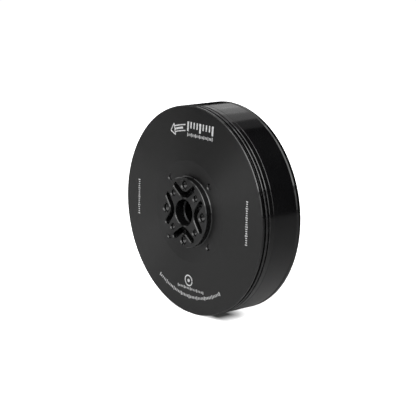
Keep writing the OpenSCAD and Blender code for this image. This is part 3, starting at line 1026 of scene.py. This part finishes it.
# painted shadow: the camera sees a white floor with a short dark shadow painted beside the rim, and a glow
# that lifts the floor to white everywhere but there: distance is measured from the painted shadow's core
painted_shadow_side, painted_shadow_front, painted_shadow_back = 0.0105, -0.0165, -0.0115
side = n.math("MAXIMUM", n.math("SUBTRACT", x, painted_shadow_side), n.math("SUBTRACT", 0, x))
ahead = n.math("MULTIPLY", n.math("SUBTRACT", painted_shadow_front, y), 2)
behind = n.math("SUBTRACT", y, painted_shadow_back)
along = n.math("MAXIMUM", n.math("MAXIMUM", ahead, behind), 0)
from_painted_shadow = n.length(n.math("MAXIMUM", side, 0), along)
# painted shadow: the diffuse colour runs from dark at the shadow's core to over-bright away from it
painted_shadow_diffuse = n.make("ShaderNodeBsdfDiffuse")
n.join(n.ramp(from_painted_shadow, (0, grey(0.3)), (0.004, grey(0.7)), (0.009, grey(1.6))), painted_shadow_diffuse.inputs["Color"])
# painted light: the floor glows, weakly at the painted shadow and fully away from it
lift = n.make("ShaderNodeEmission")
n.join(n.spread(from_painted_shadow, 0.03, 1, 0.001, 0.01), lift.inputs["Strength"])
both = n.make("ShaderNodeAddShader")
n.join(painted_shadow_diffuse.outputs[0], both.inputs[0])
n.join(lift.outputs[0], both.inputs[1])
choose = n.make("ShaderNodeMixShader")
n.join(n.make("ShaderNodeLightPath").outputs["Is Camera Ray"], choose.inputs[0])
n.join(n.shader.outputs[0], choose.inputs[1])
n.join(both.outputs[0], choose.inputs[2])
n.join(choose.outputs[0], n.tree.nodes["Material Output"].inputs[0])
dress(floor, floor_mat)


def panel(name, where, width, height, radiance, along=(0, 0, 1)):
    """A softbox that faces the motor, with its width along a direction, and that the camera doesn't see."""
    light = bpy.data.lights.new(name, "AREA")
    light.shape, light.size, light.size_y = "RECTANGLE", width, height
    light.energy = radiance * math.pi * width * height
    obj = bpy.data.objects.new(name, light)
    bpy.context.scene.collection.objects.link(obj)
    obj.location = where
    obj.rotation_mode = "QUATERNION"
    back = Vector(where).normalized()
    side = (Vector(along) - back * back.dot(Vector(along))).normalized()
    obj.rotation_quaternion = Matrix((side, back.cross(side), back)).transposed().to_quaternion()
    obj.visible_camera = False


# Each panel: direction from the motor, side of the square, brightness. The strip's end carries the bright
# lines of the chamfers on, and rear_1 to rear_4 grade the gloss of the flux ring from its middle to its top.
for name, where, side, radiance in (
    ("front_right", (0.6, -0.5, 0.65), 0.8, 2.55),
    ("front_high", (0, -0.85, 0.5), 0.6, 0.38),
    ("front_low", (0, -1, 0.2), 0.5, 1.3),
    ("strip_end", (0.606, -0.785, 0.12), 0.28, 1.5),
    ("top", (-0.2, -0.3, 0.93), 0.6, 1.2),
    ("left_high", (-0.8, 0.1, 0.6), 0.9, 0.5),
    ("left", (-0.95, -0.1, 0.3), 0.6, 0.46),
    ("rear_1", (-0.7, 0.621, 0.351), 0.2, 0.77),
    ("rear_2", (-0.594, 0.621, 0.511), 0.2, 0.81),
    ("rear_3", (-0.43, 0.621, 0.655), 0.2, 0.55),
    ("rear_4", (-0.234, 0.621, 0.748), 0.2, 0.15),
    ("rear_fill", (0.2, 0.93, 0.36), 0.5, 3.0),
):
    panel(name, Vector(where).normalized(), side, side, radiance)
# a long strip that fades towards its ends draws the thin bright lines along the chamfers of rim and hub
strip_at, strip_along, strip_width = (0.262, -0.746, 0.617), (-0.733, 0.198, 0.651), 0.24
strips = (("strip_long", 1.04, 2.4), ("strip_middle", 0.88, 1.3), ("strip_short", 0.72, 1.3))
for name, length, radiance in strips:
    panel(name, strip_at, length, strip_width, radiance, along=strip_along)

world = bpy.data.worlds.new("studio")
bpy.context.scene.world = world
world.use_nodes = True
tree = world.node_tree
# the camera sees a white studio, which sheds no light of its own
white = tree.nodes["Background"]
white.inputs["Color"].default_value = (1, 1, 1, 1)
white.inputs["Strength"].default_value = 1.05
dark = tree.nodes.new("ShaderNodeBackground")
dark.inputs["Strength"].default_value = 0.0
mix = tree.nodes.new("ShaderNodeMixShader")
path = tree.nodes.new("ShaderNodeLightPath")
tree.links.new(path.outputs["Is Camera Ray"], mix.inputs[0])
tree.links.new(dark.outputs[0], mix.inputs[1])
tree.links.new(white.outputs[0], mix.inputs[2])
tree.links.new(mix.outputs[0], tree.nodes["World Output"].inputs[0])
bpy.context.scene.view_settings.view_transform = "Standard"

camera = bpy.data.objects.new("camera", bpy.data.cameras.new("camera"))
bpy.context.scene.collection.objects.link(camera)
bpy.context.scene.camera = camera
camera.data.sensor_width = 36
camera.data.clip_start, camera.data.clip_end = 0.01, 20
# lens, place and roll come from a fit to the outlines of the rim and hub in the photograph
camera.data.lens = 120.6
eye, aim = Vector((0.42783, -0.37612, 0.12849)), Vector((0.00413, -0.01694, 0.00142))
back_axis = (eye - aim).normalized()
camera.location = eye
camera.rotation_mode = "QUATERNION"
look = (-back_axis).to_track_quat("-Z", "Y")
roll = math.radians(1.04)
camera.rotation_quaternion = look @ Quaternion((0, 0, 1), roll)
